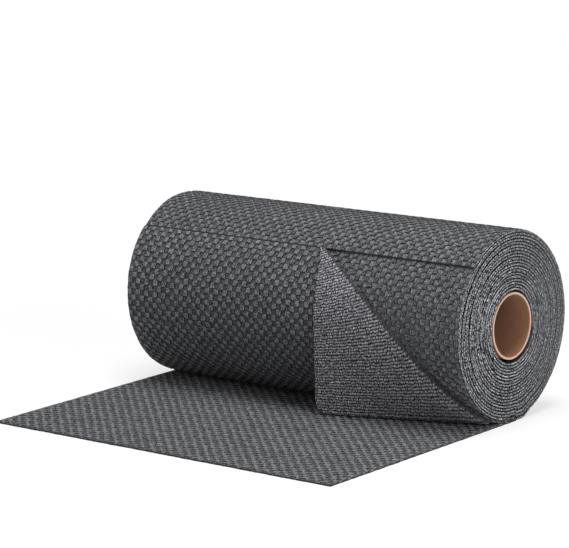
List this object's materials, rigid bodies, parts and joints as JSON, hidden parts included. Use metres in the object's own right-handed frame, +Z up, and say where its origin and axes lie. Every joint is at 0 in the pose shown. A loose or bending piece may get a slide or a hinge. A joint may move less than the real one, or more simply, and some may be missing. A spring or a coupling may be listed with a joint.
{
  "type": "roll of microfiber cloths",
  "caption": "Roll of grey check-weave cleaning cloths on a paperboard core, lying on its side with its end unrolled and one corner torn and folded down.",
  "frame": {"origin": "on the surface that the roll lies on, below the middle of the roll's axis", "axes": "+X along the roll's axis towards the end where the corner is torn, +Z up; the unrolled end points to -Y"},
  "size_m": [0.28, 0.2597, 0.1277],
  "materials": {
    "paperboard": "matte brown paperboard",
    "microfiber": "charcoal grey knitted microfiber with a raised check weave",
    "microfiber_back": "charcoal grey fine terry knit"
  },
  "bodies": {
    "root": {"core_tube": "paperboard", "wound_cloths": "microfiber"}
  },
  "joints": []
}
